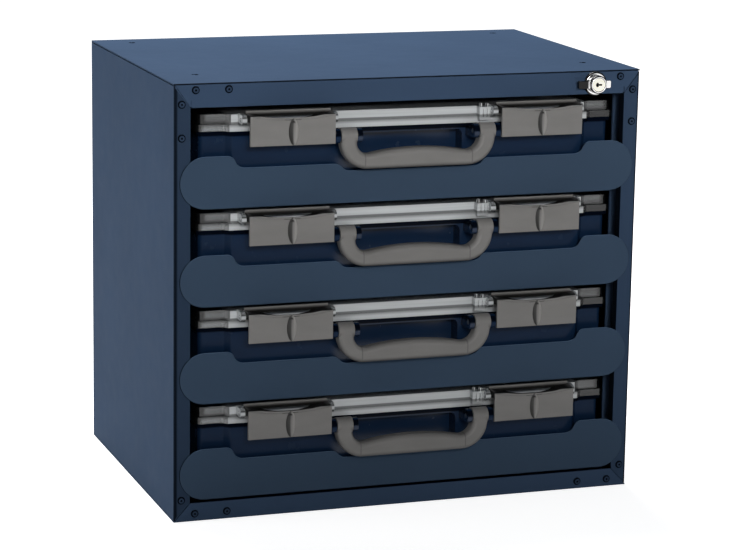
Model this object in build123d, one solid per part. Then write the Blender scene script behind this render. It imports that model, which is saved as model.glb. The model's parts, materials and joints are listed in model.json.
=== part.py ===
from build123d import *
import os

# A lockable steel cabinet that holds four carry cases, each on its own pull-out tray.
# +X is the cabinet's right, +Y its back and +Z up. The origin is under the middle of its box.
# Millimetres. Level 1 is the top tray.

# Cabinet
WIDTH = 436.0
HEIGHT = 391.0
CABINET_DEPTH = 306.0
PROUD = 19.5  # how far the latches stand in front of the cabinet
FRONT = -(CABINET_DEPTH + PROUD) / 2 + PROUD
SHEET = 1.2
SEAM = 0.4
TOP_SEAM = 1.0  # open joint between the top sheet and the side sheets
BEND_R = 1.6
HALF = WIDTH / 2
WALL_IN = HALF - SHEET
OPENING_HALF = 203.3
OPENING_TOP = 369.8
OPENING_BOTTOM = 16.5
RETURN_DEPTH = 10.0
RELIEF = 6.0
TOP_HOLE_R = 3.25
TOP_HOLE_X = 184.6
TOP_HOLE_BACKS = (53.0, 277.5)

# Rivets
RIVET_HEAD_R = 3.5
RIVET_SHANK_R = 1.9
RIVET_CLEAR = 0.05
RIVET_HEAD = 1.4
RIVET_RIM = 0.5
RIVET_FLAT_R = 2.4
RIVET_TAIL_R = 2.7
RIVET_TAIL = 1.4
DIMPLE_R, DIMPLE = 1.0, 0.7
BACK_IN = CABINET_DEPTH - RIVET_HEAD - SHEET  # inner face of the back panel
TOP_RIVET_Z = 385.2
BOTTOM_RIVET_Z = 6.9
FLANGE_RIVET_XS = (169.2, 198.8)
POST_RIVET_X = 211.2
TOP_POST_RIVET_ZS = (373.0, 343.7)
BOTTOM_POST_RIVET_Z = 19.9
BACK_RIVET_X = 210.0
BACK_RIVET_ZS = (30.0, 140.0, 249.0, 359.0)

# Levels
LEVELS = (1, 2, 3, 4)
PITCH = 87.1
TOP_PLATE_Z = 280.8  # lower edge of the top tray's front plate

# Tray front plates
PLATE_HALF = 213.2
PLATE_END_R = 23.1
PLATE_TOP = 2 * PLATE_END_R
PLATE_MID = 35.4
PLATE_LOW = 28.9
STEP_OUT, STEP_IN = 171.0, 155.0
SCALLOP_OUT, SCALLOP_IN = 72.0, 59.0
PLATE_GAP = 0.5  # between the plate and the posts it covers

# Tray pans and runners
FLOOR_ABOVE_PLATE = 3.6
TOP_FLOOR_Z = TOP_PLATE_Z + FLOOR_ABOVE_PLATE  # upper face of the top tray's floor
PAN_HALF = 198.6
PAN_BACK = 298.7
PAN_WALL = 14.0
PAN_FRONT_FLANGE = 21.0
LIP_HALF = 202.8
RUNNER_HALF = 199.4
RUNNER_FRONT = 34.0
RUNNER_SLACK = 0.4

# Lock and lock bar
LOCK_X, LOCK_Z = 173.9, 379.3
ROSETTE_R, ROSETTE_FRONT = 11.0, -3.0
ROSETTE_EDGE = 1.3
CUP_R, CUP_BACK = 5.8, -0.8
BARREL_R, BARREL_BACK = 8.0, 20.0
BARREL_CLEAR = 0.1
NUT_HALF, NUT_BACK = 9.8, 7.4
SPINDLE_R, SPINDLE_TIP_R = 3.5, 2.5
COLLAR_R, KNOB_FRONT, COLLAR_BACK = 8.2, -10.0, -3.5
KNOB_EDGE, KNOB_EDGE_IN = 1.2, 0.9
NECK_R, NECK_BACK = 5.0, -1.0
WING_LEFT, WING_RIGHT, WING_TALL = 18.6, 12.6, 7.0
WING_FRONT, WING_ROUND = -7.6, 1.2
PLUG_R, PLUG_BACK = 6.1, -4.6
PLUG_IN = 0.5  # how far the plug's face stands in
KEYWAY_DEEP = 3.9
RUN = 0.05  # radial running clearance
CRANK_R = 6.0
CRANK_HUB_R, CRANK_END_R = 6.2, 3.4
CRANK_PIN_R = 1.5
CRANK_START = 45.0  # degrees below level when unlocked
CAM_FRONT, CAM_BACK = 23.0, 25.5
BAR_FRONT, BAR_BACK = 26.0, 28.0
BAR_IN, BAR_OUT = 204.2, 214.5
BAR_LOW = 28.0
BAR_PLAY = 0.3
GUIDE_ZS = (68.0, 155.0, 332.0)
GUIDE_IN, GUIDE_TALL, GUIDE_WALL = 211.8, 12.0, 2.0
PIN_PLAY = 0.35
ARM_END = 1.8
WINDOW_PLAY = 0.7
ARM_LOW, ARM_HIGH = 370.2, 379.9
CATCH_LEFT, CATCH_RIGHT = 207.0, 210.0
CATCH_LOW, CATCH_TALL = 15.0, 16.0  # above the plate's lower edge
CATCH_NOTCH = 9.0

# Cases, heights above the tray floor
CASE_FRONT = 2.5
CASE_BACK = 289.0
CASE_HALF = 196.0
SETBACK = 5.0  # how far the front corners stand back
SETBACK_X = 168.0
TUB_WALL = 2.2
TUB_TOP = 59.6
RIM_TOP = 63.1
LIP_TOP = 69.1
LID_TOP = 77.8
LID_WALL = 2.0
RECESS_HALF = 49.0
RECESS_BACK = 22.0
RECESS_LOW, RECESS_HIGH = 16.0, 57.4

# Latches and handle, heights above the tray floor
LATCH_X = 116.3
LATCH_WIDE = 77.0
LATCH_FRONT = -18.0
LATCH_SKIN = 2.4
LATCH_LOW, LATCH_HIGH = 52.6, 78.1
LATCH_PIVOT_Y, LATCH_PIVOT_Z = -5.0, 74.1
LATCH_PIN_R = 2.0
LATCH_OPEN_END = 9.0  # how far the cheeks stand in from the latch's ends
LATCH_REAR, LATCH_REAR_TOP = -2.4, 81.8
CHEEK = 2.2
LATCH_EYE_R, LATCH_EYE = 4.0, 8.0
DISH_R, DISH_DROP = 150.0, 3.4
SAG_R, SAG_DROP = 205.0, 1.7
SAG_LINE = (1.2, 1.9)  # how far below the sag the fine line starts and ends
GROOVE_X, GROOVE_Y = 0.5, -2.55
GROOVE_R, GROOVE_REACH = 5.35, 16.5
GROOVE_BACKING = 1.8
LUG_R = 4.6
LUG_BACK = 5.5
BLOCK_X = 61.8
BLOCK_FRONT, BLOCK_LOW = -3.5, 66.1
BLOCK_RIBS = (2.6, 6.2, 9.0)
RIB_GAP, RIB_GAP_DEEP = 1.3, 1.5
STUD_R, STUD_TALL = 1.7, 3.0
STUD_PLACES = ((3.5, 3.2), (8.5, 0.4))
HANDLE_OUT, HANDLE_IN = 71.9, 57.4
HANDLE_PIVOT_Y, HANDLE_PIVOT_Z = -11.3, 58.2
HANDLE_EYE_R = 7.2
HANDLE_PIN_R = 2.5
GRIP_LOW = 28.6
GRIP_SIDE_TOP = 42.0
GRIP_MID_TOP = 46.2
HANDLE_ROUND = 4.2
HANDLE_TURN = 25.0
ARCH_END = 44.0
EAR_THICK = 4.7
EAR_R, EAR_DROP, EAR_BACK = 6.4, 6.4, 6.0
KEEPER_HALF, KEEPER_FRONT, KEEPER_LOW = 20.0, -8.0, 58.6
EAR_GAP = 0.5
HINGE_Y, HINGE_R, HINGE_PIN_R = 292.8, 3.2, 1.6
TUB_KNUCKLE = (140.0, 170.0)
LID_KNUCKLE = (109.5, 139.5)
KNUCKLE_Y = 286.0

# Bins
BIN_COLUMNS, BIN_ROWS = 3, 2
BIN_HALF = 189.2
BIN_FRONT, BIN_BACK = 27.5, 282.8
BIN_GAP = 0.8
BIN_WALL = 1.4
BIN_TOP = 54.0


def block(x0, x1, y0, y1, z0, z1):
    """A box between two corners, with y measured back from the cabinet's front face."""
    size = Box(abs(x1 - x0), abs(y1 - y0), abs(z1 - z0))
    return Pos((x0 + x1) / 2, FRONT + (y0 + y1) / 2, (z0 + z1) / 2) * size


def rod_x(radius, x0, x1, y, z):
    """A round bar along X."""
    return Pos((x0 + x1) / 2, FRONT + y, z) * Rot(0, 90, 0) * Cylinder(radius, abs(x1 - x0))


def rod_y(radius, x, z, y0, y1, tip=None):
    """A round bar along Y, or a cone when its far end has another radius."""
    place = Pos(x, FRONT + (y0 + y1) / 2, z) * Rot(-90, 0, 0)
    if tip is None:
        return place * Cylinder(radius, y1 - y0)
    return place * Cone(radius, tip, y1 - y0)


def from_front(face, y0, y1):
    """A face drawn in X and Z, made solid from y0 back to y1."""
    return extrude(Plane.XZ.offset(-(FRONT + y1)) * face, amount=y1 - y0)


def from_side(face, x0, x1):
    """A face drawn in Y and Z, made solid from x0 to x1."""
    return extrude(Plane.YZ.offset(x0) * Pos(FRONT, 0) * face, amount=x1 - x0)


def polygon(*points):
    return make_face(Polyline(*points, close=True))


def mirrored(shape):
    return mirror(shape, about=Plane.YZ)


def both_sides(shape):
    return [shape, mirrored(shape)]


def plate_z(level):
    """Lower edge of a level's front plate."""
    return TOP_PLATE_Z - PITCH * (level - 1)


# Cabinet sheets

def front_rivet_places():
    """X and Z of the rivets on the front face; the lock takes the place of one."""
    places = [(side * FLANGE_RIVET_XS[1], TOP_RIVET_Z) for side in (-1, 1)]
    places.append((-FLANGE_RIVET_XS[0], TOP_RIVET_Z))
    for side in (-1, 1):
        places += [(side * x, BOTTOM_RIVET_Z) for x in FLANGE_RIVET_XS]
        places += [(side * POST_RIVET_X, z) for z in TOP_POST_RIVET_ZS]
        places.append((side * POST_RIVET_X, BOTTOM_POST_RIVET_Z))
    return places


def back_rivet_places():
    return [(side * BACK_RIVET_X, z) for side in (-1, 1) for z in BACK_RIVET_ZS]


def drill(shape, places, y0, y1, radius=RIVET_SHANK_R + RIVET_CLEAR):
    for x, z in places:
        shape -= rod_y(radius, x, z, y0, y1)
    return shape


def side_panel(side):
    """One side sheet with its front post, the post's return and a rear flange."""
    low, high = SHEET + SEAM, HEIGHT - SHEET - TOP_SEAM
    panel = block(WALL_IN, HALF, 0, BACK_IN, low, high)
    post = polygon(
        (HALF, low), (HALF, high), (OPENING_HALF, OPENING_TOP), (OPENING_HALF, OPENING_BOTTOM)
    )
    panel += from_front(post, 0, SHEET)
    panel += block(
        OPENING_HALF, OPENING_HALF + SHEET, 0, RETURN_DEPTH, OPENING_BOTTOM + 1, OPENING_TOP - 1
    )
    panel += block(OPENING_HALF, WALL_IN, BACK_IN - SHEET, BACK_IN, low, high)
    outer_edge = panel.edges().filter_by(Axis.Z).sort_by_distance((HALF, FRONT, HEIGHT / 2))[0]
    panel = fillet(outer_edge, BEND_R)
    if side < 0:
        panel = mirrored(panel)
    else:
        for level in LEVELS:
            low = plate_z(level) + CATCH_LOW - 1
            panel -= block(
                CATCH_LEFT - 1.1, CATCH_RIGHT + 1.1, -1, SHEET + 1, low, low + CATCH_TALL + 2
            )
    panel = drill(panel, front_rivet_places(), -1, SHEET + 1)
    return drill(panel, back_rivet_places(), BACK_IN - 3, BACK_IN + 1)


def top_panel():
    """The top sheet with its front flange, mitred at the ends, and four fixing holes."""
    sheet = block(-HALF, HALF, 0, BACK_IN, HEIGHT - SHEET, HEIGHT)
    under = HEIGHT - SHEET
    flange = polygon(
        (-WALL_IN, under), (WALL_IN, under),
        (OPENING_HALF - SEAM, OPENING_TOP), (-OPENING_HALF + SEAM, OPENING_TOP),
    )
    sheet += from_front(flange, 0, SHEET)
    front_edge = sheet.edges().filter_by(Axis.X).sort_by_distance((0, FRONT, HEIGHT))[0]
    sheet = fillet(front_edge, BEND_R)
    notch = block(
        OPENING_HALF - 3 * SEAM, OPENING_HALF, -1, SHEET + 1, OPENING_TOP - 1, OPENING_TOP + RELIEF
    )
    sheet = sheet - notch - mirrored(notch)
    for x in (-TOP_HOLE_X, TOP_HOLE_X):
        for back in TOP_HOLE_BACKS:
            sheet -= Pos(x, FRONT + back, HEIGHT - 1) * Cylinder(TOP_HOLE_R, 6)
    sheet -= rod_y(BARREL_R + BARREL_CLEAR, LOCK_X, LOCK_Z, -1, SHEET + 1)
    return drill(sheet, front_rivet_places(), -1, SHEET + 1)


def bottom_panel():
    """The bottom sheet that the cabinet stands on, with its front flange turned up."""
    sheet = block(-HALF, HALF, 0, BACK_IN, 0, SHEET)
    flange = polygon(
        (-WALL_IN, SHEET), (WALL_IN, SHEET),
        (OPENING_HALF - SEAM, OPENING_BOTTOM), (-OPENING_HALF + SEAM, OPENING_BOTTOM),
    )
    sheet += from_front(flange, 0, SHEET)
    return drill(sheet, front_rivet_places(), -1, SHEET + 1)


def back_panel():
    sheet = block(-HALF + SEAM, HALF - SEAM, BACK_IN, BACK_IN + SHEET, SEAM, HEIGHT - SEAM)
    return drill(sheet, back_rivet_places(), BACK_IN - 1, BACK_IN + 3)


def corner_brackets():
    """Four angle plates that the rivets hold behind the front corners."""
    leg_in, end = FLANGE_RIVET_XS[0] - 6, WALL_IN - SEAM
    post_in = OPENING_HALF + 1.7
    top = block(leg_in, end, SHEET, 2 * SHEET, OPENING_TOP + 0.7, HEIGHT - SHEET - SEAM)
    top += block(post_in, end, SHEET, 2 * SHEET, TOP_POST_RIVET_ZS[1] - 6, OPENING_TOP + 1)
    low = block(leg_in, end, SHEET, 2 * SHEET, SHEET + SEAM, OPENING_BOTTOM - 1)
    low += block(post_in, end, SHEET, 2 * SHEET, OPENING_BOTTOM - 2, BOTTOM_POST_RIVET_Z + 6)
    lock_hole = rod_y(BARREL_R + BARREL_CLEAR, LOCK_X, LOCK_Z, 0, 3 * SHEET)
    plates = [mirrored(top), top - lock_hole, *both_sides(low)]
    return [drill(plate, front_rivet_places(), 0, 3 * SHEET) for plate in plates]


def rivet(x, z, y, grip, outwards):
    """A blind rivet: a domed head with a dimple, a shank and a set tail behind the sheets."""
    head = rod_y(RIVET_HEAD_R, 0, 0, -RIVET_RIM, 0)
    head += rod_y(RIVET_FLAT_R, 0, 0, -RIVET_HEAD, -RIVET_RIM, tip=RIVET_HEAD_R)
    head += rod_y(RIVET_SHANK_R, 0, 0, -RIVET_RIM, grip)
    head += rod_y(RIVET_TAIL_R, 0, 0, grip, grip + RIVET_TAIL)
    head -= rod_y(DIMPLE_R, 0, 0, -RIVET_HEAD - 1, -RIVET_HEAD + DIMPLE)
    turn = Pos(0, FRONT, 0) * Rot(0, 0, 0 if outwards < 0 else 180) * Pos(0, -FRONT, 0)
    return Pos(x, y, z) * turn * head


def frame_rivets():
    found = [rivet(x, z, 0, 2 * SHEET, -1) for x, z in front_rivet_places()]
    outer = BACK_IN + SHEET
    found += [rivet(x, z, outer, 2 * SHEET, 1) for x, z in back_rivet_places()]
    return found


# Runners, lock bar and lock

def runners(side):
    """Four C-channels on one side sheet, each taking the lip of its tray."""
    found = []
    for level in LEVELS:
        lip_top = plate_z(level) + FLOOR_ABOVE_PLATE + PAN_WALL
        low = lip_top - SHEET - RUNNER_SLACK - SHEET
        high = lip_top + 2 * RUNNER_SLACK + SHEET
        back = PAN_BACK - 2
        channel = block(WALL_IN - SHEET, WALL_IN, RUNNER_FRONT, back, low, high)
        channel += block(RUNNER_HALF, WALL_IN, RUNNER_FRONT, back, low, low + SHEET)
        channel += block(RUNNER_HALF, WALL_IN, RUNNER_FRONT, back, high - SHEET, high)
        found.append(channel if side > 0 else mirrored(channel))
    return found


def bar_guides():
    """Three slotted blocks on the right side sheet that keep the lock bar upright."""
    found = []
    near, far = BAR_FRONT - BAR_PLAY, BAR_BACK + BAR_PLAY
    for z in GUIDE_ZS:
        guide = block(GUIDE_IN, WALL_IN, near - GUIDE_WALL, far + GUIDE_WALL, z, z + GUIDE_TALL)
        guide -= block(GUIDE_IN - 1, BAR_OUT + BAR_PLAY, near, far, z - 1, z + GUIDE_TALL + 1)
        found.append(guide)
    return found


def crank_pin_place(angle):
    """X and Z of the crank pin with the knob turned clockwise by an angle in degrees."""
    arm = Vector(CRANK_R, 0, 0).rotate(Axis.Z, angle - CRANK_START)
    return LOCK_X - arm.X, LOCK_Z + arm.Y


def lock_bar():
    """The upright bar behind the right post, with a window for each tray's catch."""
    pin_x, pin_z = crank_pin_place(0)
    left_x, _ = crank_pin_place(CRANK_START)
    room = CRANK_PIN_R + PIN_PLAY
    bar = block(BAR_IN, BAR_OUT, BAR_FRONT, BAR_BACK, BAR_LOW, ARM_HIGH)
    bar += block(left_x - room - ARM_END, BAR_OUT, BAR_FRONT, BAR_BACK, ARM_LOW, ARM_HIGH)
    for level in LEVELS:
        low = plate_z(level) + CATCH_LOW
        bar -= block(
            CATCH_LEFT - WINDOW_PLAY, CATCH_RIGHT + WINDOW_PLAY, BAR_FRONT - 1, BAR_BACK + 1,
            low - 0.5, low + CATCH_TALL + 1,
        )
    return bar - block(
        left_x - room, pin_x + room, BAR_FRONT - 1, BAR_BACK + 1, pin_z - room, pin_z + room
    )


def tray_catch():
    """The hook that reaches back through the post into the lock bar."""
    low = TOP_PLATE_Z + CATCH_LOW
    hook = block(CATCH_LEFT, CATCH_RIGHT, -PLATE_GAP, BAR_BACK + 3, low, low + CATCH_TALL)
    hook -= block(
        CATCH_LEFT - 1, CATCH_RIGHT + 1, BAR_FRONT - 0.6, BAR_BACK + 0.6, low - 1, low + CATCH_NOTCH
    )
    return hook


def lock_body():
    """The rosette in front of the flange and the threaded barrel through it."""
    edge = ROSETTE_FRONT + ROSETTE_EDGE
    body = rod_y(ROSETTE_R - ROSETTE_EDGE, LOCK_X, LOCK_Z, ROSETTE_FRONT, edge, tip=ROSETTE_R)
    body += rod_y(ROSETTE_R, LOCK_X, LOCK_Z, edge, 0)
    body += rod_y(BARREL_R, LOCK_X, LOCK_Z, 0, BARREL_BACK)
    body -= rod_y(COLLAR_R, LOCK_X, LOCK_Z, ROSETTE_FRONT - 0.1, CUP_BACK, tip=CUP_R)
    return body - rod_y(SPINDLE_R + RUN, LOCK_X, LOCK_Z, ROSETTE_FRONT, BARREL_BACK + 1)


def lock_nut():
    hexagon = Pos(LOCK_X, LOCK_Z) * RegularPolygon(NUT_HALF, 6, major_radius=False)
    nut = from_front(hexagon, 2 * SHEET, NUT_BACK)
    return nut - rod_y(BARREL_R + RUN, LOCK_X, LOCK_Z, SHEET, NUT_BACK + 1)


def lock_knob():
    """The turning knob: a neck, a collar and two wings, the left one longer."""
    rim = KNOB_FRONT + KNOB_EDGE
    knob = rod_y(NECK_R, LOCK_X, LOCK_Z, COLLAR_BACK, NECK_BACK)
    knob += rod_y(COLLAR_R - KNOB_EDGE_IN, LOCK_X, LOCK_Z, KNOB_FRONT, rim, tip=COLLAR_R)
    knob += rod_y(COLLAR_R, LOCK_X, LOCK_Z, rim, COLLAR_BACK)
    wing = block(
        LOCK_X - WING_LEFT, LOCK_X + WING_RIGHT, WING_FRONT, COLLAR_BACK,
        LOCK_Z - WING_TALL / 2, LOCK_Z + WING_TALL / 2,
    )
    knob += fillet(wing.edges().filter_by(Axis.Y), WING_ROUND)
    return knob - rod_y(PLUG_R + RUN, LOCK_X, LOCK_Z, KNOB_FRONT - 1, PLUG_BACK)


def lock_plug():
    """The key cylinder in the knob, with its keyway."""
    front = KNOB_FRONT + PLUG_IN
    slot_end = front + KEYWAY_DEEP
    plug = rod_y(PLUG_R, LOCK_X, LOCK_Z, front, PLUG_BACK)
    plug -= block(LOCK_X - 3.0, LOCK_X + 3.0, front - 1, slot_end, LOCK_Z - 0.7, LOCK_Z + 0.7)
    return plug - block(
        LOCK_X - 2.4, LOCK_X - 0.4, front - 1, slot_end, LOCK_Z - 1.8, LOCK_Z + 1.8
    )


def lock_spindle():
    spindle = rod_y(SPINDLE_R, LOCK_X, LOCK_Z, NECK_BACK, CAM_FRONT)
    return spindle + rod_y(SPINDLE_TIP_R, LOCK_X, LOCK_Z, CAM_FRONT, CAM_BACK)


def lock_cam():
    """The crank on the spindle's end, with the pin that lifts the bar."""
    x, z = crank_pin_place(0)
    disc = Pos(LOCK_X, LOCK_Z) * Circle(CRANK_HUB_R) + Pos(x, z) * Circle(CRANK_END_R)
    cam = from_front(disc, CAM_FRONT, CAM_BACK)
    cam += rod_y(CRANK_PIN_R, x, z, CAM_BACK - 0.5, BAR_BACK + 0.8)
    return cam - rod_y(SPINDLE_TIP_R + RUN, LOCK_X, LOCK_Z, CAM_FRONT - 1, CAM_BACK + 1)


# Trays, modelled at the top level

def s_curve(x0, z0, x1, z1):
    """Two equal arcs that leave and arrive level."""
    middle = ((x0 + x1) / 2, (z0 + z1) / 2)
    way = 1 if x1 > x0 else -1
    return TangentArc((x0, z0), middle, tangent=(way, 0)) + TangentArc(
        (x1, z1), middle, tangent=(-way, 0)
    )


def tray_front():
    """The front plate: round ends, a step down to the latches and a dip for the handle."""
    end_x = PLATE_HALF - PLATE_END_R
    outline = Line((0, PLATE_LOW), (SCALLOP_IN, PLATE_LOW))
    outline += s_curve(SCALLOP_IN, PLATE_LOW, SCALLOP_OUT, PLATE_MID)
    outline += Line((SCALLOP_OUT, PLATE_MID), (STEP_IN, PLATE_MID))
    outline += s_curve(STEP_IN, PLATE_MID, STEP_OUT, PLATE_TOP)
    outline += Line((STEP_OUT, PLATE_TOP), (end_x, PLATE_TOP))
    outline += ThreePointArc((end_x, PLATE_TOP), (PLATE_HALF, PLATE_END_R), (end_x, 0))
    outline += Line((end_x, 0), (0, 0)) + Line((0, 0), (0, PLATE_LOW))
    half = make_face(outline)
    half = Pos(0, TOP_PLATE_Z) * half
    plate = from_front(half, -PLATE_GAP - SHEET, -PLATE_GAP)
    return plate + mirrored(plate)


def tray_pan():
    """The tray: a floor with a front flange, two lipped sides and a rear flange."""
    floor = TOP_FLOOR_Z
    under, rim = floor - SHEET, floor + PAN_WALL
    pan = block(-PAN_HALF, PAN_HALF, -PLATE_GAP, PAN_BACK, under, floor)
    pan += block(
        -PAN_HALF + 2, PAN_HALF - 2, -PLATE_GAP, SHEET - PLATE_GAP, under, floor + PAN_FRONT_FLANGE
    )
    pan += block(-PAN_HALF, PAN_HALF, PAN_BACK - SHEET, PAN_BACK, under, rim)
    side = block(PAN_HALF - SHEET, PAN_HALF, SHEET - PLATE_GAP, PAN_BACK, under, rim)
    side += block(PAN_HALF - SHEET, LIP_HALF, 6, PAN_BACK, rim - SHEET, rim)
    return pan + side + mirrored(side)


# Carry cases, modelled at the top level

def case_plan(inset):
    """The case's outline from above, drawn in by an inset, with its front corners set back."""
    half, front, back = CASE_HALF - inset, CASE_FRONT + inset, CASE_BACK - inset
    step = SETBACK_X - inset
    corner = front + SETBACK
    points = [
        (-half, back), (-half, corner), (-step - SETBACK, corner), (-step, front),
        (step, front), (step + SETBACK, corner), (half, corner), (half, back),
    ]
    face = Pos(0, FRONT) * polygon(*points)
    ends = [v for v in face.vertices() if abs(abs(v.X) - half) < 0.1]
    face = fillet(ends, 5.0)
    steps = [v for v in face.vertices() if step - 0.1 < abs(v.X) < step + SETBACK + 0.1]
    return fillet(steps, 2.5)


def slab(inset, z0, z1):
    return extrude(Plane.XY.offset(z0) * case_plan(inset), amount=z1 - z0)


def ears(floor):
    """Two pairs of ears on the tub's front, one pair for each arm of the handle."""
    y, z = HANDLE_PIVOT_Y, floor + HANDLE_PIVOT_Z
    found = []
    for near in (HANDLE_IN - EAR_GAP - EAR_THICK, HANDLE_OUT + EAR_GAP):
        ear = rod_x(EAR_R, near, near + EAR_THICK, y, z)
        ear += block(near, near + EAR_THICK, y, EAR_BACK, z - EAR_DROP, floor + TUB_TOP + 1)
        ear -= rod_x(HANDLE_PIN_R + RUN, near - 1, near + EAR_THICK + 1, y, z)
        found += both_sides(ear)
    return found


def knuckle(x0, x1, floor, z_low, z_high):
    """Two barrel pieces of the rear hinge, each on a web to the wall in front of it."""
    web = block(x0, x1, KNUCKLE_Y, HINGE_Y, floor + z_low, floor + z_high)
    web += rod_x(HINGE_R, x0, x1, HINGE_Y, floor + RIM_TOP)
    web -= rod_x(HINGE_PIN_R + RUN, x0 - 1, x1 + 1, HINGE_Y, floor + RIM_TOP)
    return both_sides(web)


def case_base():
    """The tub: a deep box with a rim, a finger recess, ears, latch bars and hinge pieces."""
    floor = TOP_FLOOR_Z
    tub = slab(3.5, floor, floor + TUB_TOP + 1) + slab(1.0, floor + TUB_TOP, floor + RIM_TOP)
    pocket = slab(3.5 + TUB_WALL, floor + TUB_WALL, floor + RIM_TOP + 1)
    pocket -= block(
        -RECESS_HALF - TUB_WALL, RECESS_HALF + TUB_WALL, 0, RECESS_BACK + TUB_WALL,
        floor, floor + RECESS_HIGH + TUB_WALL,
    )
    tub -= pocket
    recess = block(
        -RECESS_HALF, RECESS_HALF, 0, RECESS_BACK, floor + RECESS_LOW, floor + RECESS_HIGH
    )
    tub -= fillet(recess.edges().filter_by(Axis.Y), 5.0)
    for x in (-LATCH_X, LATCH_X):
        tub += block(
            x - KEEPER_HALF, x + KEEPER_HALF, KEEPER_FRONT, EAR_BACK,
            floor + KEEPER_LOW, floor + RIM_TOP - 0.5,
        )
    for piece in ears(floor):
        tub += piece
    for piece in knuckle(*TUB_KNUCKLE, floor, RIM_TOP - 3, RIM_TOP - 0.2):
        tub += piece
    return tub


def lid_lug(x0, x1, floor):
    """One of the lid's two lugs for a latch pin."""
    y, z = LATCH_PIVOT_Y, floor + LATCH_PIVOT_Z
    lug = rod_x(LUG_R, x0, x1, y, z) + block(x0, x1, y, LUG_BACK, z - LUG_R, z + LUG_R)
    return lug - rod_x(LATCH_PIN_R + RUN, x0 - 1, x1 + 1, y, z)


def lid_block(x0, x1, floor):
    """The ribbed block between the handle and the right latch, with two studs on top."""
    high = floor + LID_TOP
    ribbed = block(x0, x1, BLOCK_FRONT, LUG_BACK, floor + BLOCK_LOW, high)
    for x in [x0 + rib for rib in BLOCK_RIBS]:
        ribbed -= block(
            x, x + RIB_GAP, BLOCK_FRONT - 1, BLOCK_FRONT + RIB_GAP_DEEP,
            floor + LIP_TOP, high - 1.6,
        )
    for x, y in STUD_PLACES:
        ribbed += Pos(x0 + x, FRONT + y, high + 1.2) * Cylinder(STUD_R, STUD_TALL)
    return ribbed


def case_lid():
    """The clear lid: a top, an upright wall and a wider lip, with lugs for the latches."""
    floor = TOP_FLOOR_Z
    lid = slab(0, floor + RIM_TOP, floor + LIP_TOP) + slab(2.0, floor + LIP_TOP, floor + LID_TOP)
    lid -= slab(2.0 + LID_WALL, floor + RIM_TOP - 1, floor + LID_TOP - LID_WALL)
    end = LATCH_X + LATCH_WIDE / 2
    start = LATCH_X - LATCH_WIDE / 2
    for x0, x1 in ((start - EAR_GAP - EAR_THICK, start - EAR_GAP), (end + 0.5, end + 4.8)):
        for piece in both_sides(lid_lug(x0, x1, floor)):
            lid += piece
    lid += lid_block(BLOCK_X, start - EAR_GAP - EAR_THICK, floor)
    for piece in knuckle(*LID_KNUCKLE, floor, RIM_TOP + 0.1, RIM_TOP + 2.9):
        lid += piece
    return lid


def leaf(x, y, middle, reach, radius):
    """A slim body of revolution, pointed at both ends, standing at x and y."""
    top, bottom = (0, middle + reach), (0, middle - reach)
    half = make_face(Line(bottom, top) + ThreePointArc(top, (radius, middle), bottom))
    return Pos(x, FRONT + y, 0) * revolve(Plane.XZ * half, Axis.Z)


def latch_scoops(x, high):
    """The dish in the latch's top, the sag of its front edge and the fine line below that."""
    front, rear = LATCH_FRONT, LATCH_REAR
    sag_z = high - SAG_DROP + SAG_R
    upper, lower = SAG_LINE
    dish = rod_y(DISH_R, x, high - DISH_DROP + DISH_R, front + 1.3, rear - 0.8)
    sag = rod_y(SAG_R, x, sag_z, front - 1, front + 2)
    line = rod_y(SAG_R + lower, x, sag_z, front - 1, front + 0.45)
    line -= rod_y(SAG_R + upper, x, sag_z, front - 2, front + 1)
    return dish, sag, line


def latch(side):
    """One latch: a front skin, two cheeks, a scooped top, a finger groove and a hook."""
    floor = TOP_FLOOR_Z
    x, y, z = side * LATCH_X, LATCH_PIVOT_Y, floor + LATCH_PIVOT_Z
    left, right = x - LATCH_WIDE / 2, x + LATCH_WIDE / 2
    low, high = floor + LATCH_LOW, floor + LATCH_HIGH
    inner = LATCH_FRONT + LATCH_SKIN
    rear_top, rear = floor + LATCH_REAR_TOP, LATCH_REAR
    cheek = polygon(
        (LATCH_FRONT, low), (LATCH_FRONT, high), (rear, rear_top), (rear + 1, z + 4),
        (rear + 1, z - 2), (y - 1, z - 8), (inner, low + 5), (inner, low),
    )
    skin = polygon(
        (LATCH_FRONT, low), (LATCH_FRONT, high), (rear, rear_top), (rear + 0.6, rear_top - 1.2),
        (rear, rear_top - 5.2), (inner, high - 4.6), (inner, low),
    )
    body = from_side(skin, left, right)
    for x0 in (left + LATCH_OPEN_END, right - LATCH_OPEN_END - CHEEK):
        body += from_side(cheek, x0, x0 + CHEEK)
    for x0, x1 in ((left, left + LATCH_EYE), (right - LATCH_EYE, right)):
        body += rod_x(LATCH_EYE_R, x0, x1, y, z) + block(x0, x1, y - 3, y + 3, z, z + 5)
    groove_x = x + GROOVE_X
    body += block(
        groove_x - 5, groove_x + 5, inner - 0.1, inner + GROOVE_BACKING, low + 1, high - 5
    )
    body += block(x - 18, x + 18, inner - 0.1, -6, low + 3, low + 5)
    for cut in latch_scoops(x, high):
        body -= cut
    body -= leaf(
        groove_x, LATCH_FRONT + GROOVE_Y, (low + high) / 2 - 0.8, GROOVE_REACH, GROOVE_R
    )
    return body - rod_x(LATCH_PIN_R + RUN, left - 1, right + 1, y, z)


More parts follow.
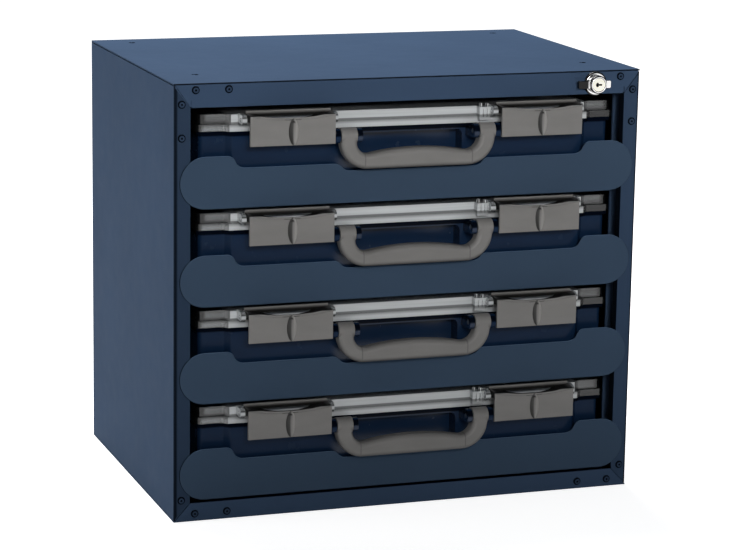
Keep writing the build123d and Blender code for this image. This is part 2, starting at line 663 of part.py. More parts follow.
def handle_outline(floor):
    """Half of the handle from the front: an arm, a round corner and an arched grip."""
    top, low = floor + HANDLE_PIVOT_Z, floor + GRIP_LOW
    turn = HANDLE_TURN
    crown, side_top = floor + GRIP_MID_TOP, floor + GRIP_SIDE_TOP
    arch_r = (ARCH_END**2 + (crown - side_top) ** 2) / (2 * (crown - side_top))
    slope = ARCH_END / arch_r
    inner_r = (HANDLE_IN - ARCH_END) / (1 + slope)
    inner_z = side_top + inner_r * (1 - slope**2) ** 0.5
    arm = Line((HANDLE_IN, inner_z), (HANDLE_IN, top)) + Line((HANDLE_IN, top), (HANDLE_OUT, top))
    arm += Line((HANDLE_OUT, top), (HANDLE_OUT, low + turn))
    arm += TangentArc((HANDLE_OUT, low + turn), (HANDLE_OUT - turn, low), tangent=(0, -1))
    arm += Line((HANDLE_OUT - turn, low), (0, low)) + Line((0, low), (0, crown))
    arm += TangentArc((0, crown), (ARCH_END, side_top), tangent=(1, 0))
    arm += TangentArc((HANDLE_IN, inner_z), (ARCH_END, side_top), tangent=(0, -1))
    return make_face(arm)


def handle():
    """The carrying handle: a rounded bar that hangs from a round eye on each arm."""
    floor = TOP_FLOOR_Z
    y, z = HANDLE_PIVOT_Y, floor + HANDLE_PIVOT_Z
    half = from_front(handle_outline(floor), y - HANDLE_EYE_R, y + HANDLE_EYE_R)
    body = half + mirrored(half)
    round_about = [
        edge for edge in body.edges()
        if abs(edge.tangent_at(0.5).Y) < 0.3 and edge.center().Z < z - 0.1
    ]
    body = fillet(round_about, HANDLE_ROUND)
    for eye in both_sides(rod_x(HANDLE_EYE_R, HANDLE_IN, HANDLE_OUT, y, z)):
        body += eye
    return body - rod_x(HANDLE_PIN_R + RUN, -80, 80, y, z)


def hinge_pins():
    """The pins of the handle's two arms, of both latches and of the lid's rear hinge."""
    floor = TOP_FLOOR_Z
    handle_pin = rod_x(
        HANDLE_PIN_R, HANDLE_IN - EAR_GAP - EAR_THICK + 0.4, HANDLE_OUT + EAR_GAP + EAR_THICK - 0.4,
        HANDLE_PIVOT_Y, floor + HANDLE_PIVOT_Z,
    )
    latch_pin = rod_x(
        LATCH_PIN_R, LATCH_X - LATCH_WIDE / 2 - EAR_THICK, LATCH_X + LATCH_WIDE / 2 + 4.4,
        LATCH_PIVOT_Y, floor + LATCH_PIVOT_Z,
    )
    lid_pin = rod_x(
        HINGE_PIN_R, LID_KNUCKLE[0] - 0.5, TUB_KNUCKLE[1] + 0.5, HINGE_Y, floor + RIM_TOP
    )
    return both_sides(handle_pin) + both_sides(latch_pin) + both_sides(lid_pin)


def bins():
    """Open bins that stand side by side in the tub."""
    floor = TOP_FLOOR_Z + TUB_WALL + 0.2
    top = TOP_FLOOR_Z + BIN_TOP
    wide = 2 * BIN_HALF / BIN_COLUMNS
    deep = (BIN_BACK - BIN_FRONT) / BIN_ROWS
    found = []
    for column in range(BIN_COLUMNS):
        for row in range(BIN_ROWS):
            x0, y0 = -BIN_HALF + column * wide, BIN_FRONT + row * deep
            x1, y1 = x0 + wide - BIN_GAP, y0 + deep - BIN_GAP
            outer = block(x0, x1, y0, y1, floor, top)
            outer = fillet(outer.edges().filter_by(Axis.Z), 3.0)
            inner = block(
                x0 + BIN_WALL, x1 - BIN_WALL, y0 + BIN_WALL, y1 - BIN_WALL, floor + BIN_WALL, top + 1
            )
            inner = fillet(inner.edges().filter_by(Axis.Z), 1.6)
            found.append(outer - inner)
    return found


# Writing the parts

def write(name, shape, drop=0.0):
    """Write one part, lowered from the top level by a drop."""
    items = shape if isinstance(shape, list) else [shape]
    pieces = [Pos(0, 0, -drop) * solid for item in items for solid in item.solids()]
    export_step(Compound(children=pieces), f"parts/{name}.step")


def main():
    os.makedirs("parts", exist_ok=True)
    write("left_side_panel", side_panel(-1))
    write("right_side_panel", side_panel(1))
    write("top_panel", top_panel())
    write("bottom_panel", bottom_panel())
    write("back_panel", back_panel())
    write("corner_brackets", corner_brackets())
    write("frame_rivets", frame_rivets())
    write("left_runners", runners(-1))
    write("right_runners", runners(1))
    write("bar_guides", bar_guides())
    write("lock_body", lock_body())
    write("lock_nut", lock_nut())
    write("lock_knob", lock_knob())
    write("lock_plug", lock_plug())
    write("lock_spindle", lock_spindle())
    write("lock_cam", lock_cam())
    write("lock_bar", lock_bar())
    on_each_level = {
        "tray_pan": tray_pan(),
        "tray_front": tray_front(),
        "tray_catch": tray_catch(),
        "case_base": case_base(),
        "case_lid": case_lid(),
        "latch_left": latch(-1),
        "latch_right": latch(1),
        "handle": handle(),
        "hinge_pins": hinge_pins(),
        "bins": bins(),
    }
    for name, shape in on_each_level.items():
        for level in LEVELS:
            write(f"{name}_{level}", shape, drop=PITCH * (level - 1))


main()
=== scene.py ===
import json
import math

import bmesh
import bpy
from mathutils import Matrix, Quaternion, Vector

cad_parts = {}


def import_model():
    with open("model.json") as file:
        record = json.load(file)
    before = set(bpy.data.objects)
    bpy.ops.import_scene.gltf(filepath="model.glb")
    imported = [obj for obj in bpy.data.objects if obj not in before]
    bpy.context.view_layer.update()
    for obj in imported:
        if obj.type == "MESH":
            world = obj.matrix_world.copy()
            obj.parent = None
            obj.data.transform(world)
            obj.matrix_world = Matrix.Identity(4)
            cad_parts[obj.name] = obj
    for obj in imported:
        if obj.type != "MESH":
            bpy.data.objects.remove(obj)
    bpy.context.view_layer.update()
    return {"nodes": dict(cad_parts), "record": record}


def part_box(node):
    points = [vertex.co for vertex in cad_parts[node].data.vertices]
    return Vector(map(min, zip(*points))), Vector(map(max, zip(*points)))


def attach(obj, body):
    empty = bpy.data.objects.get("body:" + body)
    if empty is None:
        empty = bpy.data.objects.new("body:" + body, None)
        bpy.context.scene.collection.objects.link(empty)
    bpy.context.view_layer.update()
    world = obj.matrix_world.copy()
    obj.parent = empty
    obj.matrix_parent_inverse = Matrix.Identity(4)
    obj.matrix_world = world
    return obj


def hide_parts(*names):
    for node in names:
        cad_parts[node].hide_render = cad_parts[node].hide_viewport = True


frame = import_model()

MM = 0.001

# Places on the parts that the materials use. Where a name holds two numbers, they are steps
# from a place: a mask begins at the first and is full at the second.

# Lids: heights are counted from a lid's lower edge, lengths in X from the middle plane
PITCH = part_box("tray_pan_1")[0][2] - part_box("tray_pan_2")[0][2]
PAN_TO_LID = 64.3 * MM
LOWEST_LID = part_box("tray_pan_4")[0][2] + PAN_TO_LID
LIP_TALL = 6.0 * MM
LIP_FADE = 3.0 * MM
LINE_SOFT = 0.25 * MM
# Where the painted shade line over the lip ends
LIP_SHADE_TOP = (1.6 * MM, 2.4 * MM)
OVER_LEDGE = (2.6 * MM, 3.2 * MM)
LID_STEP_X = 168.0 * MM
STEP_SOFT = (-1.0 * MM, 3.0 * MM)
LID_END_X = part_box("case_lid_1")[1][0]
UPPER_END = (-10.0 * MM, -7.0 * MM)
LIP_END = (-6.0 * MM, -3.0 * MM)
RIGHT_HALF = ("X", 0.0, 1.0 * MM)

# Tubs: the shade under the lid's lip, and the recess behind the handle, glossier than the ends
RIM_SHADE = 5.5 * MM
RIM_SOFT, RIM_FADE = 1.5 * MM, 1.0 * MM
RECESS_X, RECESS_SOFT = 64.0 * MM, 8.0 * MM

# Latches: painted shade in the scooped top and on its sagging front edge, and painted shade and
# highlight in the groove for the fingers
LATCH_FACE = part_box("latch_left_1")[0][1]
SCOOP_BEHIND = (1.1 * MM, 1.4 * MM)
SCOOP_TOP = (17.9 * MM, 15.5 * MM)
SCOOP_FLOOR = (8.0 * MM, 10.0 * MM)
SAG_TOP = (14.8 * MM, 14.4 * MM)
GROOVE_X = (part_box("latch_right_1")[0][0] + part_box("latch_right_1")[1][0]) / 2
GROOVE_HALF, GROOVE_SOFT = 8.0 * MM, 1.0 * MM
GROOVE_DEEP = (0.10 * MM, 0.30 * MM)
GROOVE_BELOW_LID = 30.0 * MM
GROOVE_TOP = (43.6 * MM, 43.2 * MM)

# Handles
GRIP_SEAM_X, SEAM_HALF, SEAM_SOFT = 50.0 * MM, 0.7 * MM, 0.3 * MM

# Front of the cabinet and its lock
LEFT_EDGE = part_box("left_side_panel")[0][0]
RIGHT_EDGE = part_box("right_side_panel")[1][0]
LEFT_BEND = (3.6 * MM, 2.2 * MM)
RIGHT_BEND = (-2.4 * MM, -1.2 * MM)
RIVET_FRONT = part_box("frame_rivets")[0][1]
DIMPLE_DEEP = (0.2 * MM, 0.3 * MM)
PLUG_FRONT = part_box("lock_plug")[0][1]
# Axis and limits of the lock's two painted dark parts: painted shade in the keyhole and a painted
# dark reflection on the knob's left wing
KEYHOLE = ("Y", PLUG_FRONT + 0.2 * MM, PLUG_FRONT + 0.35 * MM)
LEFT_WING = ("X", 165.5 * MM, 164.0 * MM)

# Camera
CAMERA_AT = Vector((-0.81702, -2.37161, 0.72067))
CAMERA_AHEAD = Vector((0.321525, 0.923378, -0.209749))
CAMERA_ROLL = math.radians(0.924)
LENS_MM = 133.342
SENSOR_MM = 36.0
CLIP_END_M = 50.0

# Colours, linear
PAINT = (0.044, 0.073, 0.127)
PLATE_PAINT = (0.044, 0.071, 0.113)
TUB_NAVY = (0.006, 0.018, 0.046)
LATCH_GREY = (0.178, 0.172, 0.164)
CLEAR = (0.86, 0.89, 0.90)
CHROME = (0.82, 0.81, 0.80)
PLUG_METAL = (0.82, 0.80, 0.70)
ZINC = (0.55, 0.56, 0.57)
BIN_BLUE = (0.035, 0.060, 0.115)

# Noise scales per metre
CLOUDS, DUST, SATIN, PEEL, FINE_PEEL = 9.0, 2600.0, 60.0, 900.0, 5000.0
FLOW, RUBS, WEAR = 22.0, 140.0, 75.0
LID_LINES, LID_HAZE = 40.0, 120.0
LAY, METAL_CLOUDS = 700.0, 90.0

# Limits between which a noise or a mask rises or falls
MIDDLE = (0.3, 0.7)
NARROW = (0.35, 0.65)
TURNED = (0.985, 0.90)
FLAT_UP = (0.6, 0.8)

# Gloss, as the principled shader's specular level
PAINT_GLOSS = 0.008
PLASTIC_GLOSS = 0.4
MATTE_PART = 0.1


# Nodes

class Tree:
    """The nodes of a material or a world."""

    def __init__(self, owner):
        owner.use_nodes = True
        self.nodes, self.links = owner.node_tree.nodes, owner.node_tree.links

    def spread(self, value, low, high, new_low, new_high):
        """A value's range from low to high, mapped to a new range."""
        node = self.nodes.new("ShaderNodeMapRange")
        for name, number in (("From Min", low), ("From Max", high),
                             ("To Min", new_low), ("To Max", new_high)):
            node.inputs[name].default_value = number
        self.links.new(value, node.inputs["Value"])
        return node.outputs["Result"]

    def rise(self, value, low, high):
        """Zero up to low and one from high, or the reverse where high is the lesser."""
        return self.spread(value, low, high, 0.0, 1.0)

    def band(self, value, middle, half, soft):
        """One near a middle value, falling to zero at half a band's width from it."""
        start, end = middle - half, middle + half
        return self.times(self.rise(value, start, start + soft), self.rise(value, end, end - soft))

    def blend(self, factor, first, second):
        """The first colour where a factor is zero and the second where it is one."""
        node = self.nodes.new("ShaderNodeMix")
        node.data_type = "RGBA"
        self.links.new(factor, node.inputs["Factor"])
        for socket, colour in ((node.inputs[6], first), (node.inputs[7], second)):
            if isinstance(colour, tuple):
                socket.default_value = (*colour, 1.0)
            else:
                self.links.new(colour, socket)
        return node.outputs[2]

    def maths(self, operation, first, second=None, clamp=False):
        """A math node's result, where the second value is an output, a number or nothing."""
        node = self.nodes.new("ShaderNodeMath")
        node.operation, node.use_clamp = operation, clamp
        self.links.new(first, node.inputs[0])
        if isinstance(second, float):
            node.inputs[1].default_value = second
        elif second is not None:
            self.links.new(second, node.inputs[1])
        return node.outputs[0]

    def times(self, first, second):
        return self.maths("MULTIPLY", first, second, clamp=True)

    def plus(self, first, second):
        return self.maths("ADD", first, second, clamp=True)

    def larger(self, first, second):
        return self.maths("MAXIMUM", first, second)

    def either(self, factor, first, second):
        """The first shader where a factor is zero and the second where it is one."""
        node = self.nodes.new("ShaderNodeMixShader")
        for socket, source in zip(node.inputs, (factor, first, second)):
            self.links.new(source, socket)
        return node.outputs[0]


class Shader(Tree):
    """A principled material whose colour, roughness and bump come from nodes."""

    def __init__(self, name):
        self.material = bpy.data.materials.new(name)
        super().__init__(self.material)
        self.surface = self.nodes["Principled BSDF"]
        coords = self.nodes.new("ShaderNodeTexCoord")
        self.place, self.normal = coords.outputs["Object"], coords.outputs["Normal"]

    def noise(self, scale, detail, stretch=None):
        source = self.place
        if stretch:
            mapping = self.nodes.new("ShaderNodeMapping")
            mapping.inputs["Scale"].default_value = stretch
            self.links.new(source, mapping.inputs["Vector"])
            source = mapping.outputs["Vector"]
        node = self.nodes.new("ShaderNodeTexNoise")
        node.inputs["Scale"].default_value = scale
        node.inputs["Detail"].default_value = detail
        self.links.new(source, node.inputs["Vector"])
        return node.outputs["Fac"]

    def axes(self, vector):
        """A vector's X, Y and Z as outputs of their own."""
        parts = self.nodes.new("ShaderNodeSeparateXYZ")
        self.links.new(vector, parts.inputs["Vector"])
        return parts.outputs

    def bend_mask(self, flat, turned):
        """One where the surface turns between two of the object's main directions."""
        x, y, z = [self.maths("ABSOLUTE", part) for part in self.axes(self.normal).values()]
        return self.rise(self.larger(self.larger(x, y), z), flat, turned)

    def facing(self, axis, low, high):
        """One where the surface faces along an axis of the object, with its sign."""
        return self.rise(self.axes(self.normal)[axis], low, high)

    def beyond(self, axis, low, high):
        """Zero below one place along an axis of the object and one above another."""
        return self.rise(self.axes(self.place)[axis], low, high)

    def reach_x(self):
        """Distance from the middle plane."""
        return self.maths("ABSOLUTE", self.axes(self.place)["X"])

    def height_in_pitch(self, start):
        """Height over the nearest lower step of the stack of levels, counted from a start."""
        over = self.maths("SUBTRACT", self.axes(self.place)["Z"], start)
        return self.maths("FLOORED_MODULO", over, PITCH)

    def feed(self, socket, value):
        self.links.new(value, self.surface.inputs[socket])

    def hold(self, **values):
        for name, number in values.items():
            self.surface.inputs[name.replace("_", " ")].default_value = number

    def bump(self, height, strength, distance, below=None):
        node = self.nodes.new("ShaderNodeBump")
        node.inputs["Strength"].default_value = strength
        node.inputs["Distance"].default_value = distance
        self.links.new(height, node.inputs["Height"])
        if below is not None:
            self.links.new(below, node.inputs["Normal"])
        return node.outputs["Normal"]


# Materials

def past(place, steps):
    """The two limits of a mask, as steps from a place."""
    return [place + step for step in steps]


def tint(colour, factor):
    return tuple(part * factor for part in colour)


def shaded(made, shown, colour, shades):
    """The shown colour, turned to a tint of the plain one wherever a mask is one: the painted
    shade and highlights.
    """
    for mask, factor in shades:
        shown = made.blend(mask(made), shown, tint(colour, factor))
    return shown


def powder_coat(name, colour, bends=(0.99, 0.93), shades=()):
    """Satin powder coat: a fine orange peel, slight clouds, faint dust, painted shade along its
    bends, and any painted shade and highlights that its masks give.
    """
    made = Shader(name)
    cloud = made.rise(made.noise(CLOUDS, 4.0), *MIDDLE)
    base = made.blend(cloud, tint(colour, 0.95), tint(colour, 1.05))
    speck = made.spread(made.noise(DUST, 2.0), 0.62, 0.75, 0.0, 0.35)
    dusty = made.blend(speck, base, tint(colour, 1.5))
    # Painted shade: the bends darkened to stand for the dark that the bent sheet reflects
    bend_shaded = made.blend(made.bend_mask(*bends), dusty, tint(colour, 0.12))
    made.feed("Base Color", shaded(made, bend_shaded, colour, shades))
    made.feed("Roughness", made.spread(made.noise(SATIN, 5.0), *MIDDLE, 0.50, 0.60))
    peel = made.bump(made.noise(PEEL, 2.0), 0.2, 0.0001)
    made.feed("Normal", made.bump(made.noise(FINE_PEEL, 1.0), 0.1, 0.00003, below=peel))
    made.hold(Specular_IOR_Level=PAINT_GLOSS)
    return made.material


def moulded(name, colour, rough, grain, depth, glosses=(PLASTIC_GLOSS, PLASTIC_GLOSS),
            shades=(), matte=None):
    """Moulded plastic with a fine grain, slight flow marks, a few rubbed spots, and any painted
    shade and highlights that its masks give.
    """
    made = Shader(name)
    flow = made.rise(made.noise(FLOW, 3.0, stretch=(1.0, 1.0, 3.0)), *MIDDLE)
    base = made.blend(flow, tint(colour, 0.92), tint(colour, 1.07))
    rub = made.spread(made.noise(RUBS, 6.0), 0.66, 0.8, 0.0, 0.12)
    worn = made.blend(rub, base, tint(colour, 1.25))
    made.feed("Base Color", shaded(made, worn, colour, shades))
    made.feed("Roughness", made.spread(made.noise(WEAR, 4.0), *MIDDLE, *rough))
    made.feed("Normal", made.bump(made.noise(grain, 2.0), 0.3, depth))
    made.hold(Specular_IOR_Level=glosses[0])
    if matte:
        shine = made.spread(made.reach_x(), RECESS_X, RECESS_X + RECESS_SOFT, *glosses)
        duller = made.spread(matte(made), 0.0, 0.9, 1.0, MATTE_PART)
        made.feed("Specular IOR Level", made.times(shine, duller))
    return made.material


# Masks: each is one in the place that it names and zero outside it; most mark where shade or a
# highlight is painted

def scoop_shade(made):
    """Painted shade behind a latch's sagging front edge, fading towards its rear top edge."""
    height = made.height_in_pitch(LOWEST_LID)
    behind = made.beyond("Y", *past(LATCH_FACE, SCOOP_BEHIND))
    sag = made.times(made.facing("Z", *FLAT_UP), made.rise(height, *SAG_TOP))
    dish = made.times(behind, made.rise(height, *SCOOP_TOP))
    return made.times(made.rise(height, *SCOOP_FLOOR), made.plus(sag, dish))


def in_groove(made):
    """In a latch's finger groove, which lies behind the latch's flat face."""
    near = made.band(made.reach_x(), GROOVE_X, GROOVE_HALF, GROOVE_SOFT)
    deep = made.beyond("Y", *past(LATCH_FACE, GROOVE_DEEP))
    low = made.rise(made.height_in_pitch(LOWEST_LID - GROOVE_BELOW_LID), *GROOVE_TOP)
    return made.times(near, made.times(deep, low))


def groove_shade(made):
    """Painted shade on the groove's side that faces away from the light."""
    return made.times(in_groove(made), made.facing("X", -0.22, 0.05))


def groove_highlight(made):
    """Painted highlight on the groove's side that faces the light."""
    return made.times(in_groove(made), made.facing("X", -0.30, -0.55))


def underside_shade(made):
    """Painted shade on the rounded lower side of a handle."""
    return made.facing("Z", 0.05, -0.85)


def grip_seam(made):
    """A fine line around each end of a grip."""
    return made.band(made.reach_x(), GRIP_SEAM_X, SEAM_HALF, SEAM_SOFT)


# Where a highlight is painted: surfaces that face up
def top_highlight(made):
    return made.facing("Z", 0.3, 0.6)


# Where shade is painted: surfaces that face left
def left_facing_shade(made):
    return made.facing("X", -0.3, -0.7)


def front_side(made):
    return made.facing("Y", -0.6, -0.8)


def left_bend_shade(made):
    """Painted shade along the front's left edge, where the sheet bends."""
    near = made.beyond("X", *past(LEFT_EDGE, LEFT_BEND))
    return made.times(near, front_side(made))


def right_bend_shade(made):
    """Painted shade along the front's right edge, where the sheet bends."""
    near = made.beyond("X", *past(RIGHT_EDGE, RIGHT_BEND))
    return made.times(near, front_side(made))


def dimple_shade(made):
    """Painted shade on the floor of the small hollow in a rivet's head."""
    deep = made.beyond("Y", *past(RIVET_FRONT, DIMPLE_DEEP))
    return made.times(deep, front_side(made))


def rim_shadow(made):
    """Painted shadow under the lid's lip, where the tub's top edge steps back."""
    height = made.height_in_pitch(LOWEST_LID - RIM_SHADE)
    under = made.spread(height, 0.0, RIM_SOFT, 0.0, 0.9)
    return made.times(under, made.rise(height, RIM_SHADE + RIM_FADE, RIM_SHADE))


def lid_middle(made, lip, above, lines):
    """The colour of a lid's front between its ends: two bright bands, painted shade as a dark line
    between them that fades down the lip's top, and painted shade on the bends.
    """
    upper = made.blend(lines, tint(CLEAR, 0.86), CLEAR)
    shade_over_lip = made.blend(above, tint(CLEAR, 0.30), upper)
    banded = made.blend(lip, shade_over_lip, tint(CLEAR, 0.92))
    return made.blend(made.bend_mask(*TURNED), banded, tint(CLEAR, 0.15))


def shaded_lid_ends(made, lip, above, lines):
    """Painted shade on a lid's ends: dimmer than the middle, the right lip the dimmest, and near
    black at the corners.
    """
    reach = made.reach_x()
    upper = made.blend(lines, tint(CLEAR, 0.22), tint(CLEAR, 0.50))
    upper = made.blend(above, tint(CLEAR, 0.08), upper)
    corner = made.rise(reach, *past(LID_END_X, UPPER_END))
    upper = made.blend(corner, upper, tint(CLEAR, 0.02))
    lower = made.blend(made.beyond(*RIGHT_HALF), tint(CLEAR, 0.70), tint(CLEAR, 0.05))
    banded = made.blend(lip, upper, lower)
    corner = made.rise(reach, *past(LID_END_X, LIP_END))
    return made.blend(corner, banded, tint(CLEAR, 0.02))


def clear_plastic():
    """A lid: clear, with fine lines along it, a brighter lip, and painted shade as a dark line
    over the lip, on its bends and on its ends.
    """
    made = Shader("clear_lid")
    height = made.height_in_pitch(LOWEST_LID)
    lip = made.rise(height, LIP_TALL + LINE_SOFT, LIP_TALL - LIP_FADE)
    above = made.rise(height, *past(LIP_TALL, LIP_SHADE_TOP))
    lines = made.rise(made.noise(LID_LINES, 3.0, stretch=(0.2, 1.0, 14.0)), *NARROW)
    ends = made.rise(made.reach_x(), *past(LID_STEP_X, STEP_SOFT))
    over_ledge = made.rise(height, *past(LIP_TALL, OVER_LEDGE))
    flat = made.times(made.facing("Z", *FLAT_UP), over_ledge)
    front = made.blend(
        ends, lid_middle(made, lip, above, lines), shaded_lid_ends(made, lip, above, lines)
    )
    made.feed("Base Color", made.blend(flat, front, CLEAR))
    made.feed("Roughness", made.spread(made.noise(LID_HAZE, 4.0), *MIDDLE, 0.08, 0.16))
    made.feed("Normal", made.bump(lines, 0.12, 0.0001))
    through = made.spread(ends, 0.0, 1.0, 0.42, 0.72)
    more = made.spread(flat, 0.0, 1.0, 0.0, 0.4)
    made.feed("Transmission Weight", made.plus(through, more))
    made.hold(IOR=1.49)
    return made.material


def metal(name, colour, rough, stretch, edges=False, dark=None):
    """Plated metal with fine lay marks and cloudy spots, and if asked, painted dark reflections
    along its bends and one part painted dark.
    """
    made = Shader(name)
    lay = made.noise(LAY, 4.0, stretch=stretch)
    cloud = made.rise(made.noise(METAL_CLOUDS, 3.0), *NARROW)
    shown = made.blend(cloud, tint(colour, 0.94), tint(colour, 1.05))
    if edges:
        # Painted reflection: bends darkened as if they mirror dark surroundings
        shown = made.blend(made.bend_mask(*TURNED), shown, tint(colour, 0.10))
    if dark:
        # One part painted dark: painted shade in a keyhole, a painted dark reflection on a wing
        shown = made.blend(made.beyond(*dark), shown, tint(colour, 0.03))
    made.feed("Base Color", shown)
    made.feed("Roughness", made.spread(lay, *MIDDLE, *rough))
    made.feed("Normal", made.bump(lay, 0.12, 0.00003))
    made.hold(Metallic=1.0)
    return made.material


# Chrome: painted dark reflections along every bend
def chrome(name, colour, dark=None):
    return metal(name, colour, (0.10, 0.20), (1.0, 1.0, 1.0), edges=True, dark=dark)


def grey_plastic(name, shades, matte=None):
    return moulded(name, LATCH_GREY, (0.42, 0.54), 3200.0, 0.00005, shades=shades, matte=matte)


MATERIALS = {
    "cabinet_paint": powder_coat("powder_coat_blue", PAINT),
    # Tray fronts: a painted highlight on their top edges and painted shade on their edges that
    # face left
    "plate_paint": powder_coat("powder_coat_plates", PLATE_PAINT,
                               shades=((top_highlight, 2.6), (left_facing_shade, 0.04))),
    # Left panel: painted shade over its front, and a darker painted line along the bend at the
    # corner
    "left_paint": powder_coat("powder_coat_left", PAINT,
                              shades=((front_side, 0.62), (left_bend_shade, 0.12))),
    # Right panel: painted shade on its faces that look left and on its front, and a darker painted
    # line along the bend at the corner
    "right_paint": powder_coat("powder_coat_right", PAINT,
                               shades=((left_facing_shade, 0.12), (front_side, 0.80),
                                       (right_bend_shade, 0.12))),
    # Rivets: painted shade as a dark ring where each head turns, and in the hollow of each head
    "rivet_paint": powder_coat("powder_coat_rivets", tint(PAINT, 0.7), bends=(0.999, 0.98),
                               shades=((dimple_shade, 0.10),)),
    # Tubs: painted shadow in a band under the lid's lip, which is also made less glossy
    "tub_plastic": moulded("tub_navy", TUB_NAVY, (0.22, 0.28), 1500.0, 0.00002,
                           glosses=(0.30, 0.07), shades=((rim_shadow, 0.05),), matte=rim_shadow),
    "bin_plastic": moulded("bin_blue", BIN_BLUE, (0.35, 0.48), 1200.0, 0.00004),
    # Latches: painted shade in the scooped top, and painted shade and a painted highlight on the
    # two sides of the finger groove
    "latch_shell": grey_plastic("latch_shell", matte=scoop_shade,
                                shades=((scoop_shade, 0.05), (groove_shade, 0.14),
                                        (groove_highlight, 1.6))),
    # Handles: painted shade on the lower side, and a dark line at each grip's seam
    "handle_grey": grey_plastic("handle_grey", ((underside_shade, 0.45), (grip_seam, 0.62))),
    "clear_plastic": clear_plastic(),
    "chrome": chrome("chrome_plate", CHROME),
    "chrome_knob": chrome("chrome_knob", CHROME, LEFT_WING),
    "chrome_plug": chrome("chrome_plug", PLUG_METAL, KEYHOLE),
    "zinc_steel": metal("zinc_plate", ZINC, (0.28, 0.42), (1.0, 1.0, 12.0)),
}


# Nodes whose look differs from their slot's
LOOKS = {
    "lock_knob": "chrome_knob", "lock_plug": "chrome_plug",
    "tray_front": "plate_paint", "frame_rivets": "rivet_paint",
    "left_side_panel": "left_paint", "right_side_panel": "right_paint",
    "latch_left": "latch_shell", "latch_right": "latch_shell", "handle": "handle_grey",
}


# Dressed pieces

WELD_M = 1e-6
FLAT_WITHIN = math.radians(0.6)
SHARP_FROM = math.radians(32)


def stem(node):
    """A node's name without its level."""
    return node.rstrip("1234").rstrip("_")


def look_of(node, slot):
    return MATERIALS[LOOKS.get(stem(node), slot)]


def clean_copy(node):
    """The CAD node's mesh with its corners joined and its flat faces whole."""
    mesh = bpy.data.meshes.new(node)
    work = bmesh.new()
    work.from_mesh(frame["nodes"][node].data)
    bmesh.ops.remove_doubles(work, verts=work.verts, dist=WELD_M)
    bmesh.ops.dissolve_limit(work, angle_limit=FLAT_WITHIN, verts=work.verts, edges=work.edges)
    work.to_mesh(mesh)
    work.free()
    return mesh


def dress(node, body, slot, edge):
    """A copy of a CAD node with rounded edges, which stands for it on its body."""
    piece = bpy.data.objects.new(node + "_dressed", clean_copy(node))
    bpy.context.scene.collection.objects.link(piece)
    piece.data.shade_smooth()
    rounding = piece.modifiers.new("rounding", "BEVEL")
    rounding.width = edge
    rounding.segments = 2
    rounding.limit_method = "ANGLE"
    rounding.angle_limit = SHARP_FROM
    rounding.use_clamp_overlap = True
    piece.modifiers.new("flat_faces", "WEIGHTED_NORMAL").keep_sharp = True
    piece.data.materials.append(look_of(node, slot))
    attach(piece, body)
    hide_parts(node)
    return piece


SLOT_OF = {part["node"]: part["material_slot"] for part in frame["record"]["subparts"]}
EDGES_MM = {
    "left_side_panel": 0.3, "right_side_panel": 0.3, "top_panel": 0.3, "bottom_panel": 0.3,
    "back_panel": 0.3, "lock_body": 0.25, "lock_knob": 0.35, "lock_plug": 0.15,
    "tray_front": 0.35, "case_base": 0.5, "case_lid": 0.35, "latch_left": 0.35,
    "latch_right": 0.35, "handle": 0.3,
}


def dress_all():
    for body, members in frame["record"]["behaviour"]["bodies"].items():
        for node in members:
            slot = SLOT_OF[node]
            if stem(node) in EDGES_MM:
                dress(node, body, slot, EDGES_MM[stem(node)] * MM)
                continue
            shown = frame["nodes"][node]
            shown.data.materials.clear()
            shown.data.materials.append(look_of(node, slot))


# Studio

WHITE = (1.0, 1.0, 1.0, 1.0)
FLOOR_REACH = 12.0
FLOOR_LIT = (0.60, 0.60, 0.61)
FLOOR_CLOUDS = 3.0
GLOW_NEAR, GLOW_NEAR_M, GLOW_FAR_M = 0.84, 0.4, 1.2
WORLD_LIGHT = 0.16
WORLD_TINT = (0.9, 0.95, 1.0)
AIM = Vector((0, -0.05, 0.2))
# Each lamp's place, size, power, spread and aim
LAMPS = {
    "above_behind": (Vector((-0.2, 1.1, 2.1)), (1.2, 1.2), 68.0, 180.0, AIM),
    "front": (Vector((-0.3, -1.9, 0.9)), (2.4, 0.3), 2.4, 28.0, Vector((0, -0.15, 0.40))),
    "front_low": (Vector((-0.3, -1.9, 0.3)), (2.4, 0.2), 0.2, 14.0, Vector((0, -0.15, 0.02))),
    "left": (Vector((-2.6, 0.2, 0.9)), (1.2, 1.2), 18.0, 180.0, AIM),
}


def seen_white(name, lit_colour):
    """A material that shows white to the camera and in reflections, and bounces a colour."""
    made = bpy.data.materials.new(name)
    tree = Tree(made)
    tree.nodes.clear()
    rays = tree.nodes.new("ShaderNodeLightPath").outputs
    mirrored = tree.larger(rays["Is Glossy Ray"], rays["Is Transmission Ray"])
    seen = tree.larger(rays["Is Camera Ray"], mirrored)
    grain = tree.nodes.new("ShaderNodeTexNoise")
    grain.inputs["Scale"].default_value = FLOOR_CLOUDS
    matte = tree.nodes.new("ShaderNodeBsdfDiffuse")
    shade = tree.blend(grain.outputs["Fac"], lit_colour, tint(lit_colour, 1.04))
    tree.links.new(shade, matte.inputs["Color"])
    distance = tree.nodes.new("ShaderNodeVectorMath")
    distance.operation = "LENGTH"
    place = tree.nodes.new("ShaderNodeTexCoord").outputs["Object"]
    tree.links.new(place, distance.inputs[0])
    fade = tree.spread(distance.outputs["Value"], GLOW_NEAR_M, GLOW_FAR_M, GLOW_NEAR, 1.0)
    glow = tree.nodes.new("ShaderNodeEmission")
    glow.inputs["Color"].default_value = WHITE
    tree.links.new(fade, glow.inputs["Strength"])
    both = tree.nodes.new("ShaderNodeAddShader")
    tree.links.new(matte.outputs[0], both.inputs[0])
    tree.links.new(glow.outputs[0], both.inputs[1])
    out = tree.nodes.new("ShaderNodeOutputMaterial")
    tree.links.new(tree.either(seen, matte.outputs[0], both.outputs[0]), out.inputs["Surface"])
    return made


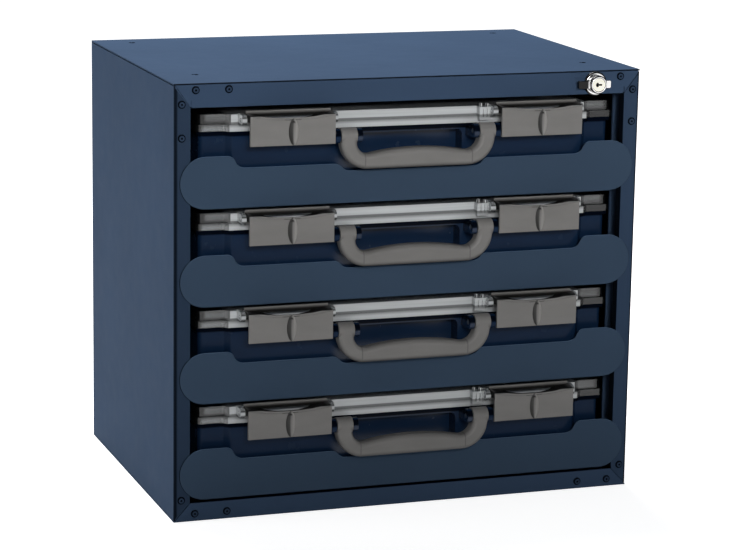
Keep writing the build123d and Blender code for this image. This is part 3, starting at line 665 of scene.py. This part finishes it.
def floor():
    """A wide pale floor under the object."""
    reach = FLOOR_REACH
    mesh = bpy.data.meshes.new("floor")
    mesh.from_pydata(
        [(-reach, -reach, 0), (reach, -reach, 0), (reach, reach, 0), (-reach, reach, 0)],
        [], [(0, 1, 2, 3)],
    )
    piece = bpy.data.objects.new("floor", mesh)
    bpy.context.scene.collection.objects.link(piece)
    mesh.materials.append(seen_white("floor_white", FLOOR_LIT))


def world():
    """White to the camera and through clear plastic, and a faint cool light otherwise."""
    made = bpy.data.worlds.new("studio")
    tree = Tree(made)
    tree.nodes.clear()
    rays = tree.nodes.new("ShaderNodeLightPath").outputs
    seen = tree.larger(rays["Is Camera Ray"], rays["Is Transmission Ray"])
    light = tree.nodes.new("ShaderNodeBackground")
    light.inputs["Color"].default_value = (*WORLD_TINT, 1.0)
    light.inputs["Strength"].default_value = WORLD_LIGHT
    white = tree.nodes.new("ShaderNodeBackground")
    white.inputs["Color"].default_value = WHITE
    out = tree.nodes.new("ShaderNodeOutputWorld")
    shown = tree.either(seen, light.outputs[0], white.outputs[0])
    tree.links.new(shown, out.inputs["Surface"])
    bpy.context.scene.world = made


def lamps():
    for name, (place, size, power, spread, aim) in LAMPS.items():
        light = bpy.data.lights.new(name, "AREA")
        light.shape = "RECTANGLE"
        light.size, light.size_y = size
        light.energy = power
        light.spread = math.radians(spread)
        lamp = bpy.data.objects.new(name, light)
        lamp.location = place
        lamp.visible_camera = False
        lamp.rotation_mode = "QUATERNION"
        lamp.rotation_quaternion = (aim - place).to_track_quat("-Z", "Y")
        bpy.context.scene.collection.objects.link(lamp)


def camera():
    lens = bpy.data.cameras.new("camera")
    lens.lens = LENS_MM
    lens.sensor_width = SENSOR_MM
    lens.clip_end = CLIP_END_M
    eye = bpy.data.objects.new("camera", lens)
    eye.location = CAMERA_AT
    eye.rotation_mode = "QUATERNION"
    level = CAMERA_AHEAD.to_track_quat("-Z", "Y")
    eye.rotation_quaternion = level @ Quaternion((0, 0, 1), CAMERA_ROLL)
    bpy.context.scene.collection.objects.link(eye)
    bpy.context.scene.camera = eye


dress_all()
floor()
world()
lamps()
camera()
bpy.context.scene.view_settings.view_transform = "Standard"
